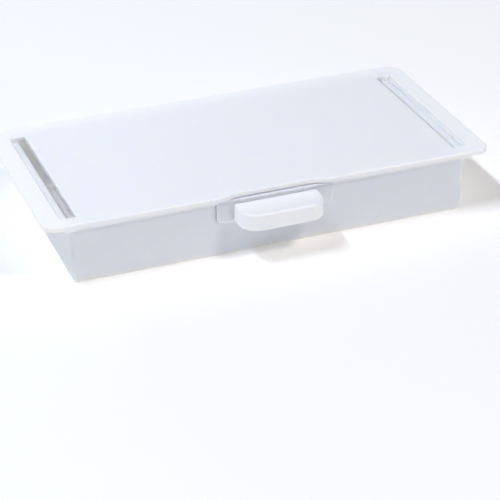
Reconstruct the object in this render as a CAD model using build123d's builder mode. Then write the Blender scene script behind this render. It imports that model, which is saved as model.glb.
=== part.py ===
from build123d import *
import os
from math import radians, tan

# Under desk drawer: a flat plate that sticks to the underside of a desk, and a shallow tray
# that hangs from two rails moulded under the plate and slides out to the front.
# Millimetres. +Z is up, -Y is the front (the tray slides that way), +X is to the right.
# The origin is the centre of the plate's top face, the face that meets the desk.

# Mounting plate
plate_width = 345.0
plate_depth = 168.0
plate_corner_radius = 10.0
skin = 2.0                    # thickness of the flat skin
rim_height = 3.6              # the edge turns down by this much
rim_thickness = 1.8
top_edge_radius = 0.9
rim_bottom_radius = 0.4

# Finger relief: the front edge steps back between the two S-bends
relief_depth = 3.6
relief_inner = 27.0           # half width of the straight stretch
relief_outer = 43.0           # half width where the S-bends start

# Slots over the rails
slot_inner = 146.5
slot_outer = 158.2
slot_front = -72.4
slot_back = 65.5
slot_corner_radius = 1.0
slot_edge_radius = 0.3

# Stiffening ribs under the skin
rib = 1.6
rib_bottom = 3.4              # depth of the ribs' lower edges under the top face
long_rib_x = (20.0, 60.0, 88.0, 116.0)

# Rails
rail_wall = 2.2
lip_inner = 155.0
lip_top = -6.2
lip_thickness = 1.6
end_stop_thickness = 2.2
web_thickness = 1.4
web_reach = 7.0
web_foot = 1.0
web_spacing = 31.0
web_count = 5
overlap = 0.2                 # how far a joined shape sinks into its neighbour

# Tray
tray_side = 153.9             # half width at the top, outside
tray_front = -79.7
tray_back = 73.6
tray_bottom = -50.0
flange_top = -3.9
flange_thickness = 2.0
flange_outer = 157.8
front_lip_reach = 2.2
front_lip_drop = 0.5          # the front lip lies this much lower than the side flanges
wall = 2.2
draft = 2.2                   # degrees
tray_corner_radius = 4.5
tray_bottom_radius = 2.4
tray_inner_radius = 1.0
flange_corner_radius = 2.5
front_lip_radius = 0.6

# Moulding marks on the tray's floor
ejector_radius = 3.0
ejector_depth = 0.2
ejector_spacing_x = 118.0
ejector_spacing_y = 90.0
gate_radius = 4.0             # the gate's dimple is under the floor, with a pip in it
gate_depth = 0.6
pip_radius = 1.0
pip_height = 0.4

# Spring tongues on the tray's back wall and the stops that they meet
tongue_x = 130.0
tongue_width = 14.0
tongue_rise = 1.5
tongue_slit = 1.2
tongue_slit_depth = 12.0
travel = 108.0
running_gap = 0.4
stop_half_width = 8.0
stop_thickness = 2.5

# Handle
handle_half_width = 32.3
handle_reach = 22.2           # from the back plate's face
handle_top = -8.1
handle_bottom = -21.2
handle_corner_radius = 13.5
handle_top_radius = 2.0
handle_bottom_radius = 0.8
handle_wall = 2.0
back_plate_half_width = 45.3
back_plate_bottom = -22.4
back_plate_thickness = 2.1
back_plate_corner_radius = 4.5
back_plate_edge_radius = 0.6
hook_x = 38.0
hook_heights = (-11.5, -18.0)
hook_width = 6.0
hook_thickness = 2.2
hook_barb = 0.9
hook_nose = 1.8
hook_gap = 0.2

SIDES = (-1, 1)
half_width = plate_width / 2
half_depth = plate_depth / 2
slot_middle = (slot_inner + slot_outer) / 2
slot_length = slot_back - slot_front
slot_centre_y = (slot_front + slot_back) / 2
rail_outer = slot_outer + rail_wall
lip_bottom = lip_top - lip_thickness
tray_centre_y = (tray_front + tray_back) / 2
stop_face = tray_back + running_gap
rail_back = stop_face + end_stop_thickness
stop_y = tray_back - wall - travel - running_gap
web_positions = [
    slot_centre_y + web_spacing * (i - (web_count - 1) / 2) for i in range(web_count)
]


def wall_y(z):
    """Outer face of the tray's drafted front wall at height z."""
    return tray_front + (flange_top - z) * tan(radians(draft))


def slab(x0, x1, y0, y1, z0, z1, mode=Mode.ADD):
    """An axis-aligned block between two corners, in the current part."""
    with Locations(((x0 + x1) / 2, (y0 + y1) / 2, (z0 + z1) / 2)):
        Box(abs(x1 - x0), abs(y1 - y0), abs(z1 - z0), mode=mode)


def mirrored_slab(x0, x1, y0, y1, z0, z1, mode=Mode.ADD):
    """The same block on the right and on the left."""
    for side in SIDES:
        slab(side * x0, side * x1, y0, y1, z0, z1, mode)


def plate_outline():
    """Front edge with its finger relief, then the three straight sides."""
    front = -half_depth
    middle_x = (relief_inner + relief_outer) / 2
    bend_radius = ((relief_outer - relief_inner) ** 2 + relief_depth ** 2) / (4 * relief_depth)
    with BuildLine() as outline:
        Line((-half_width, front), (-relief_outer, front))
        for side in SIDES:
            start = (side * relief_outer, front)
            centre = (side * middle_x, front + relief_depth / 2)
            end = (side * relief_inner, front + relief_depth)
            RadiusArc(start, centre, side * bend_radius)
            RadiusArc(centre, end, -side * bend_radius)
        Line((-relief_inner, front + relief_depth), (relief_inner, front + relief_depth))
        Line((relief_outer, front), (half_width, front))
        Line((half_width, front), (half_width, half_depth))
        Line((half_width, half_depth), (-half_width, half_depth))
        Line((-half_width, half_depth), (-half_width, front))
    return outline.line


def plate_sketch(inset=0.0):
    """The plate's outline as a face with rounded corners, drawn in by inset."""
    with BuildSketch(Plane.XY, mode=Mode.PRIVATE) as face:
        with BuildLine():
            add(plate_outline())
        make_face()
        corners = [v for v in face.vertices() if abs(v.X) > relief_outer + plate_corner_radius]
        fillet(corners, plate_corner_radius)
        if inset:
            offset(amount=-inset, mode=Mode.REPLACE)
    return face.sketch


def tray_plan(inset=0.0):
    """The tray's opening at its top, drawn in by inset."""
    with BuildSketch(mode=Mode.PRIVATE) as plan:
        with Locations((0, tray_centre_y)):
            RectangleRounded(
                2 * (tray_side - inset),
                tray_back - tray_front - 2 * inset,
                tray_corner_radius - inset,
            )
    return plan.sketch


# --- top plate: rim and skin, slots, rails, ribs and stops in one moulding ---
with BuildPart() as top_plate:
    add(plate_sketch())
    extrude(amount=-rim_height)
    fillet(top_plate.faces().sort_by(Axis.Z)[-1].edges(), top_edge_radius)
    fillet(top_plate.faces().sort_by(Axis.Z)[0].edges(), rim_bottom_radius)

    # hollow underside, inside the turned-down rim
    with BuildSketch(Plane.XY.offset(-rim_height)):
        add(plate_sketch(inset=rim_thickness))
    extrude(amount=rim_height - skin, mode=Mode.SUBTRACT)

    # the slots' ends and inner long sides are as deep as the rim
    for y0, y1 in ((slot_front - rib, slot_front), (slot_back, slot_back + rib)):
        mirrored_slab(slot_inner - rib, rail_outer, y0, y1, -rim_height, -skin)
    mirrored_slab(slot_inner - rib, slot_inner, slot_front, slot_back, -rim_height, -skin)

    # each rail is a wall that hangs from the skin, with a lip turned in at its foot
    mirrored_slab(slot_outer, rail_outer, slot_front, rail_back, lip_bottom, -skin)
    mirrored_slab(lip_inner, rail_outer, slot_front, slot_back, lip_bottom, lip_top)
    mirrored_slab(lip_inner, rail_outer, stop_face, rail_back, lip_bottom, -skin)

    # webs that brace the rails against the overhang
    with BuildSketch(*[Plane.XZ.offset(-y) for y in web_positions]):
        with BuildLine():
            Polyline(
                (rail_outer - overlap, -skin + overlap),
                (rail_outer + web_reach, -skin + overlap),
                (rail_outer + web_reach, -rim_height),
                (rail_outer - overlap, lip_bottom + web_foot),
                close=True,
            )
        make_face()
        mirror(about=Plane.YZ)
    extrude(amount=web_thickness / 2, both=True)

    # ribs that keep the skin flat, none of them in the tongues' way
    for x in long_rib_x:
        front = -half_depth + rim_thickness / 2 + (relief_depth if x < relief_outer else 0)
        back = half_depth - rim_thickness / 2
        mirrored_slab(x - rib / 2, x + rib / 2, front, back, -rib_bottom, -skin)

    # stops for the tray's tongues
    mirrored_slab(
        tongue_x - stop_half_width,
        tongue_x + stop_half_width,
        stop_y - stop_thickness,
        stop_y,
        -rib_bottom,
        -skin,
    )

    # the slots go right through the skin, over the rails' lips
    with BuildSketch(Plane.XY):
        with Locations(*[(side * slot_middle, slot_centre_y) for side in SIDES]):
            RectangleRounded(slot_outer - slot_inner, slot_length, slot_corner_radius)
    extrude(amount=-rim_height, mode=Mode.SUBTRACT)
    slot_rims = top_plate.faces().sort_by(Axis.Z)[-1].inner_wires().edges()
    fillet(slot_rims, slot_edge_radius)


# --- drawer tray: open box, side flanges, front lip and spring tongues ---
with BuildPart() as drawer_tray:
    with BuildSketch(Plane.XY.offset(flange_top)):
        add(tray_plan())
    extrude(amount=tray_bottom - flange_top, taper=draft)
    fillet(drawer_tray.faces().sort_by(Axis.Z)[0].edges(), tray_bottom_radius)
    with BuildSketch(Plane.XY.offset(flange_top)):
        add(tray_plan(inset=wall))
    extrude(amount=tray_bottom + wall - flange_top, taper=draft, mode=Mode.SUBTRACT)
    floor = drawer_tray.faces().filter_by(Axis.Z).sort_by(Axis.Z)[1]
    fillet(floor.outer_wire().edges(), tray_inner_radius)

    # ejector marks inside, and the gate's dimple and pip outside
    with BuildSketch(Plane.XY.offset(tray_bottom + wall)):
        with Locations((0, tray_centre_y)):
            with GridLocations(ejector_spacing_x, ejector_spacing_y, 3, 2):
                Circle(ejector_radius)
    extrude(amount=-ejector_depth, mode=Mode.SUBTRACT)
    with BuildSketch(Plane.XY.offset(tray_bottom)):
        with Locations((0, tray_centre_y)):
            Circle(gate_radius)
    extrude(amount=gate_depth, mode=Mode.SUBTRACT)
    with BuildSketch(Plane.XY.offset(tray_bottom + gate_depth)):
        with Locations((0, tray_centre_y)):
            Circle(pip_radius)
    extrude(amount=-pip_height)

    flange_bottom = flange_top - flange_thickness
    lip_front = tray_front - front_lip_reach
    mirrored_slab(
        tray_side - wall, flange_outer, lip_front, tray_back, flange_bottom, flange_top
    )
    slab(
        -flange_outer, flange_outer, lip_front, tray_front + wall, flange_bottom, flange_top
    )

    # the front lip and wall stand a little lower, to pass under the plate's rim
    slab(
        -flange_outer,
        flange_outer,
        lip_front,
        tray_front + wall,
        flange_top - front_lip_drop,
        flange_top,
        Mode.SUBTRACT,
    )
    slab(
        -flange_outer,
        flange_outer,
        lip_front,
        tray_front + wall / 2,
        flange_bottom - front_lip_drop,
        flange_bottom,
    )

    lip_edges = drawer_tray.edges().filter_by_position(
        Axis.Y, lip_front - overlap, lip_front + overlap
    )
    fillet(lip_edges.filter_by(Axis.Z), flange_corner_radius)
    front_edges = drawer_tray.faces().sort_by(Axis.Y)[0].edges().filter_by(Axis.X)
    fillet(front_edges, front_lip_radius)

    # spring tongues in the back wall, cut free on both sides
    tongue_back = tray_back - wall
    for side in SIDES:
        for edge in SIDES:
            slit_x = side * tongue_x + edge * (tongue_width + tongue_slit) / 2
            slab(
                slit_x - tongue_slit / 2,
                slit_x + tongue_slit / 2,
                tongue_back - wall,
                tray_back + wall,
                flange_top - tongue_slit_depth,
                flange_top,
                Mode.SUBTRACT,
            )
    mirrored_slab(
        tongue_x - tongue_width / 2,
        tongue_x + tongue_width / 2,
        tongue_back,
        tray_back,
        flange_top,
        flange_top + tongue_rise,
    )

    # windows in the front wall for the handle's snap hooks
    for z in hook_heights:
        mirrored_slab(
            hook_x - hook_width / 2 - hook_gap,
            hook_x + hook_width / 2 + hook_gap,
            tray_front - wall,
            tray_front + 2 * wall,
            z - hook_thickness / 2 - hook_gap,
            z + hook_thickness / 2 + hook_barb + hook_gap,
            Mode.SUBTRACT,
        )


# --- handle: hollow pull on a back plate, held by snap hooks through the tray's front wall ---
back_plate_top = flange_bottom - front_lip_drop - hook_gap
back_plate_face = wall_y(back_plate_top) - back_plate_thickness
handle_front = back_plate_face - handle_reach
handle_root = back_plate_face + back_plate_thickness / 2
free_edge_limit = back_plate_face - handle_wall
with BuildPart() as handle:
    # back plate, parallel to the drafted wall
    with BuildSketch(Plane.YZ):
        with BuildLine():
            Polyline(
                (wall_y(back_plate_top), back_plate_top),
                (wall_y(back_plate_bottom), back_plate_bottom),
                (wall_y(back_plate_bottom) - back_plate_thickness, back_plate_bottom),
                (back_plate_face, back_plate_top),
                close=True,
            )
        make_face()
    extrude(amount=back_plate_half_width, both=True)
    lower_corners = handle.edges().filter_by(Axis.Y).group_by(Axis.Z)[0]
    fillet(lower_corners, back_plate_corner_radius)
    fillet(handle.faces().sort_by(Axis.Y)[0].edges(), back_plate_edge_radius)

    # the pull's outside, rounded all along its free edges
    with BuildSketch(Plane.XY.offset(handle_top)) as pull:
        with Locations((0, (handle_front + handle_root) / 2)):
            Rectangle(2 * handle_half_width, handle_root - handle_front)
        fillet(pull.vertices().group_by(Axis.Y)[0], handle_corner_radius)
    extrude(amount=handle_bottom - handle_top)
    for z, radius in ((handle_top, handle_top_radius), (handle_bottom, handle_bottom_radius)):
        level = handle.edges().filter_by_position(Axis.Z, z - overlap, z + overlap)
        fillet(level.filter_by(lambda e: e.center().Y < free_edge_limit), radius)

    # the pull is hollow and open underneath, where the fingers go
    with BuildSketch(Plane.XY.offset(handle_bottom)) as hollow:
        inner_front = handle_front + handle_wall
        inner_back = back_plate_face + overlap
        with Locations((0, (inner_front + inner_back) / 2)):
            Rectangle(2 * (handle_half_width - handle_wall), inner_back - inner_front)
        fillet(hollow.vertices().group_by(Axis.Y)[0], handle_corner_radius - handle_wall)
    extrude(amount=handle_top - handle_wall - handle_bottom, mode=Mode.SUBTRACT)

    # snap hooks: a post through the wall with a barb on top, behind the wall
    for z in hook_heights:
        post_start = wall_y(z) - overlap
        barb_start = wall_y(z) + wall + hook_gap
        post_bottom = z - hook_thickness / 2
        post_top = z + hook_thickness / 2
        with BuildSketch(*[Plane.YZ.offset(side * hook_x) for side in SIDES]):
            with BuildLine():
                Polyline(
                    (post_start, post_bottom),
                    (barb_start + hook_nose, post_bottom),
                    (barb_start + hook_nose, post_top),
                    (barb_start, post_top + hook_barb),
                    (barb_start, post_top),
                    (post_start, post_top),
                    close=True,
                )
            make_face()
        extrude(amount=hook_width / 2, both=True)


os.makedirs("parts", exist_ok=True)
for name, piece in (("top_plate", top_plate), ("drawer_tray", drawer_tray), ("handle", handle)):
    piece.part.label = name
    export_step(piece.part, f"parts/{name}.step")
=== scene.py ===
from math import cos, radians, sin

import bpy
from mathutils import Matrix, Vector


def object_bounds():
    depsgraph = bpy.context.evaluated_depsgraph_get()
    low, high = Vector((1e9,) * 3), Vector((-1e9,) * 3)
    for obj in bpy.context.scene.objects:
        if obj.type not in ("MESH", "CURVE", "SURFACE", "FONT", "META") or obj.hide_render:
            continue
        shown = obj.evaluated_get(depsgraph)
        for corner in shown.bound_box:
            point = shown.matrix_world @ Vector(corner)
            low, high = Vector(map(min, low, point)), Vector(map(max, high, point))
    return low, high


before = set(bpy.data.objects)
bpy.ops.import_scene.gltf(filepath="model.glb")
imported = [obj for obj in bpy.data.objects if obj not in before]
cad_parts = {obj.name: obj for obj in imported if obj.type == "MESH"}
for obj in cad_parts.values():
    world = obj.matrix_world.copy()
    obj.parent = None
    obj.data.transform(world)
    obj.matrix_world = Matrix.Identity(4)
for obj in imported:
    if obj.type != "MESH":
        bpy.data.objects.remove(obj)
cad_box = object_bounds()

# An under desk drawer in white moulded plastic, on a pale floor in soft light. Every shape is
# the CAD node itself: this script gives the nodes their materials and adds the camera, the
# floor and the lights. Metres, in the part's own frame, with the front at -Y and up at +Z.

MM = 0.001
floor_level = cad_box[0][2]


# --- node helpers ---
BEVEL_SAMPLES = 6
# the Mix node's colour sockets go by number, because its other sockets share their names
MIX_A, MIX_B, MIX_RESULT = 6, 7, 2


class Tree:
    """A material's node tree, with short calls to add and link nodes."""

    def __init__(self, name):
        self.material = bpy.data.materials.new(name)
        self.material.use_nodes = True
        self.nodes = self.material.node_tree.nodes
        self.links = self.material.node_tree.links
        self.shader = self.nodes["Principled BSDF"]
        self.place = self.nodes.new("ShaderNodeTexCoord").outputs["Object"]

    def add(self, kind, **settings):
        node = self.nodes.new(kind)
        for key, value in settings.items():
            setattr(node, key, value)
        return node

    def link(self, output, socket):
        self.links.new(output, socket)

    def noise(self, feature_size, detail=2.0, roughness=0.5):
        """Noise from 0 to 1 whose features are about feature_size metres across."""
        node = self.add("ShaderNodeTexNoise")
        node.inputs["Scale"].default_value = 1.0 / feature_size
        node.inputs["Detail"].default_value = detail
        node.inputs["Roughness"].default_value = roughness
        self.link(self.place, node.inputs["Vector"])
        return node.outputs["Fac"]

    def remap(self, value, low, high, source_low=0.3, source_high=0.7):
        """value stretched to low..high from its source range, by default the noise's usual one."""
        node = self.add("ShaderNodeMapRange")
        node.inputs["From Min"].default_value = source_low
        node.inputs["From Max"].default_value = source_high
        node.inputs["To Min"].default_value = low
        node.inputs["To Max"].default_value = high
        self.link(value, node.inputs["Value"])
        return node.outputs["Result"]

    def maths(self, operation, a, b):
        """operation done on a and b, each a float or another node's output."""
        node = self.add("ShaderNodeMath", operation=operation)
        for socket, value in zip(node.inputs, (a, b)):
            if isinstance(value, float):
                socket.default_value = value
            else:
                self.link(value, socket)
        return node.outputs["Value"]

    def mix_colour(self, factor, a, b):
        """a where factor is 0 and b where it is 1, each a colour or another node's output."""
        node = self.add("ShaderNodeMix", data_type="RGBA")
        self.link(factor, node.inputs["Factor"])
        for socket, value in ((node.inputs[MIX_A], a), (node.inputs[MIX_B], b)):
            if isinstance(value, tuple):
                socket.default_value = (*value, 1.0)
            else:
                self.link(value, socket)
        return node.outputs[MIX_RESULT]

    def bump(self, height, distance, normal):
        """normal tilted by height, whose range from 0 to 1 stands distance metres high."""
        node = self.add("ShaderNodeBump")
        node.inputs["Distance"].default_value = distance
        self.link(height, node.inputs["Height"])
        self.link(normal, node.inputs["Normal"])
        return node.outputs["Normal"]

    def soft_edges(self, radius):
        """A normal that turns smoothly over every sharp edge, as moulded edges do."""
        node = self.add("ShaderNodeBevel", samples=BEVEL_SAMPLES)
        node.inputs["Radius"].default_value = radius
        return node.outputs["Normal"]

    def edge_mask(self, radius):
        """1 along edges and 0 on flat areas, where softening the edges leaves the normal alone."""
        geometry = self.add("ShaderNodeNewGeometry")
        match = self.add("ShaderNodeVectorMath", operation="DOT_PRODUCT")
        self.link(self.soft_edges(radius), match.inputs[0])
        self.link(geometry.outputs["Normal"], match.inputs[1])
        return self.remap(match.outputs["Value"], 1.0, 0.0, source_low=0.75, source_high=1.0)


# --- materials ---
WHITE = (0.953, 0.957, 0.961)
CLOUD_SIZE = 70 * MM          # slow changes of tone in the moulding
CLOUD_DARK, CLOUD_LIGHT = 0.985, 1.01
EDGE_RADIUS = 0.35 * MM       # radius that the shading gives to every sharp edge
RUBBED_RADIUS = 0.9 * MM      # how far a rubbed edge reaches over its faces
RUBBED_SIZE = 12 * MM         # length of the stretches that are rubbed more or less
RUBBED_LEAST, RUBBED_MOST = 0.15, 0.85
RUBBED_LIGHT = 1.035          # a rubbed edge is this much lighter
RUBBED_POLISH = 0.10          # and this much less rough
HANDLED_SIZE = 30 * MM        # patches that hands have polished more or less
HANDLED_SPREAD = 0.05         # and how far they change the roughness, up and down
WAVE_SIZE = 35 * MM           # slow waves in the moulded faces
WAVE_HEIGHT = 0.05 * MM
SCATTER_BY_COLOUR = (1.0, 0.9, 0.7)    # red light goes further under the surface than blue
PLASTIC_IOR = 1.5


def scaled(colour, factor):
    return tuple(min(1.0, c * factor) for c in colour)


def moulded_plastic(name, colour, grain_size, grain_height, roughness, scatter):
    """White moulded plastic: fine spark-eroded grain, slow waviness, faint clouding, worn edges.

    scatter sets how far light spreads under the surface, and so how much comes through a wall.
    """
    tree = Tree(name)
    shader = tree.shader

    clouds = tree.remap(tree.noise(CLOUD_SIZE, detail=3.0), 0.0, 1.0)
    base = tree.mix_colour(clouds, scaled(colour, CLOUD_DARK), scaled(colour, CLOUD_LIGHT))
    patches = tree.remap(tree.noise(RUBBED_SIZE), RUBBED_LEAST, RUBBED_MOST)
    rubbed = tree.maths("MULTIPLY", tree.edge_mask(RUBBED_RADIUS), patches)
    worn = tree.mix_colour(rubbed, base, scaled(colour, RUBBED_LIGHT))
    tree.link(worn, shader.inputs["Base Color"])

    handled = tree.remap(
        tree.noise(HANDLED_SIZE, detail=4.0, roughness=0.6),
        roughness - HANDLED_SPREAD,
        roughness + HANDLED_SPREAD,
    )
    polish = tree.maths("MULTIPLY", rubbed, RUBBED_POLISH)
    tree.link(tree.maths("SUBTRACT", handled, polish), shader.inputs["Roughness"])

    rounded = tree.soft_edges(EDGE_RADIUS)
    wavy = tree.bump(tree.noise(WAVE_SIZE, detail=1.0), WAVE_HEIGHT, rounded)
    grain = tree.noise(grain_size, detail=3.0, roughness=0.65)
    tree.link(tree.bump(grain, grain_height, wavy), shader.inputs["Normal"])

    shader.subsurface_method = "RANDOM_WALK"
    shader.inputs["Subsurface Weight"].default_value = 1.0
    shader.inputs["Subsurface Radius"].default_value = SCATTER_BY_COLOUR
    shader.inputs["Subsurface Scale"].default_value = scatter
    shader.inputs["IOR"].default_value = PLASTIC_IOR
    return tree.material


# The plate is the most matt and lets the least light through, and the handle is the glossiest.
FINISHES = {
    "top_plate": moulded_plastic(
        "plate_plastic",
        WHITE,
        grain_size=0.7 * MM,
        grain_height=0.035 * MM,
        roughness=0.50,
        scatter=2.2 * MM,
    ),
    # the tray's white is painted 2% lighter than the plate's: painted light that brightens the
    # tray and the inside that shows through the slots
    "drawer_tray": moulded_plastic(
        "tray_plastic",
        scaled(WHITE, 1.02),
        grain_size=0.5 * MM,
        grain_height=0.018 * MM,
        roughness=0.42,
        scatter=7.0 * MM,
    ),
    # the handle's white is painted 3% darker than the plate's: painted shade that tones down the
    # handle's brighter lit faces
    "handle": moulded_plastic(
        "handle_plastic",
        scaled(WHITE, 0.97),
        grain_size=0.5 * MM,
        grain_height=0.012 * MM,
        roughness=0.36,
        scatter=7.0 * MM,
    ),
}
for node_name, finish in FINISHES.items():
    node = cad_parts[node_name]
    node.data.materials.clear()
    node.data.materials.append(finish)


# --- camera, at the photograph's viewing angle ---
camera_data = bpy.data.cameras.new("camera")
camera_data.lens = 129.85
camera_data.sensor_width = 36.0
camera_data.clip_start = 0.05
camera_data.clip_end = 50.0
camera = bpy.data.objects.new("camera", camera_data)
bpy.context.scene.collection.objects.link(camera)
camera.location = (-0.4307, -1.1489, 0.5956)
turn_right = radians(21.03)
look_down = radians(29.38)
roll = radians(-0.38)
camera.rotation_euler = (
    Matrix.Rotation(-turn_right, 4, "Z")
    @ Matrix.Rotation(radians(90) - look_down, 4, "X")
    @ Matrix.Rotation(roll, 4, "Z")
).to_euler()
bpy.context.scene.camera = camera


# --- floor ---
FLOOR_SIZE = 80.0
FLOOR_GAP = 0.2 * MM          # keeps the floor clear of the tray's underside
FLOOR_WHITE = (0.98, 0.965, 0.94)
FLOOR_ROUGHNESS = 0.85
GLOW_COLOUR = (1.0, 0.95, 0.88)
GLOW_NEAR, GLOW_FAR = 0.07, 0.9
GLOW_START, GLOW_END = 1.5, 7.0    # metres from the drawer between which the glow rises


def pale_floor():
    """A white floor that glows more with distance, so it stays pale where the lights don't reach.

    Near the drawer it hardly glows, which leaves the drawer's soft shadow on it.
    """
    bpy.ops.mesh.primitive_plane_add(size=FLOOR_SIZE, location=(0, 0, floor_level - FLOOR_GAP))
    floor = bpy.context.object
    floor.name = "floor"
    tree = Tree("floor")
    distance = tree.add("ShaderNodeVectorMath", operation="LENGTH")
    tree.link(tree.place, distance.inputs[0])
    glow = tree.remap(distance.outputs["Value"], GLOW_NEAR, GLOW_FAR, GLOW_START, GLOW_END)
    tree.link(glow, tree.shader.inputs["Emission Strength"])
    tree.shader.inputs["Emission Color"].default_value = (*GLOW_COLOUR, 1)
    tree.shader.inputs["Base Color"].default_value = (*FLOOR_WHITE, 1)
    tree.shader.inputs["Roughness"].default_value = FLOOR_ROUGHNESS
    floor.data.materials.append(tree.material)


pale_floor()


# --- light ---
COOL = (0.82, 0.888, 1.0)
WARM = (1.0, 0.93, 0.90)
AMBIENT = 0.15


def around(azimuth, elevation, distance):
    """A place round the object. Azimuth 0 is in front and 90 on the right; degrees and metres."""
    turn, rise = radians(azimuth), radians(elevation)
    level = distance * cos(rise)
    return Vector((level * sin(turn), -level * cos(turn), distance * sin(rise)))


def soft_light(name, place, width, length, power, colour):
    """An area light that faces the origin, with its width square to the slots."""
    data = bpy.data.lights.new(name, "AREA")
    data.shape = "RECTANGLE"
    data.size, data.size_y = width, length
    data.energy = power
    data.color = colour
    light = bpy.data.objects.new(name, data)
    bpy.context.scene.collection.objects.link(light)
    back = place.normalized()
    across = Vector((0, 1, 0)).cross(back).normalized()
    along = back.cross(across)
    light.location = place
    light.rotation_euler = Matrix((across, along, back)).transposed().to_euler()


# the strip shines through the left slot at the slope of the camera's sight, so what shows
# of the tray's inside is lit
SLOT_X = -150 * MM
STRIP_Y = -0.15
STRIP_HEIGHT = 3.4
sight_slope = (SLOT_X - camera.location.x) / camera.location.z
strip_place = Vector((SLOT_X - sight_slope * STRIP_HEIGHT, STRIP_Y, STRIP_HEIGHT))
soft_light("strip", strip_place, width=0.25, length=1.6, power=89, colour=COOL)
# the key throws the handle's shadow down and to the left on the front wall
soft_light("key_right", around(36, 49, 3.0), width=0.5, length=0.5, power=30, colour=WARM)
# faint fills, one beside the camera and one behind the drawer on the left
soft_light("front_left", around(-22, 31, 3.2), width=1.0, length=1.0, power=8, colour=COOL)
soft_light("rear_left", around(215, 20, 3.2), width=1.4, length=1.4, power=7, colour=COOL)
# low behind the drawer, this one lights the tray's inside through its back wall
soft_light("rear_low", around(180, 6, 3.2), width=2.4, length=0.5, power=48, colour=COOL)

world = bpy.data.worlds.new("world")
bpy.context.scene.world = world
world.use_nodes = True
background = world.node_tree.nodes["Background"]
background.inputs["Color"].default_value = (*COOL, 1)
background.inputs["Strength"].default_value = AMBIENT
bpy.context.scene.view_settings.view_transform = "Standard"
# light that gets into the tray bounces many times between its white walls
bpy.context.scene.cycles.diffuse_bounces = 32
bpy.context.scene.cycles.max_bounces = 40
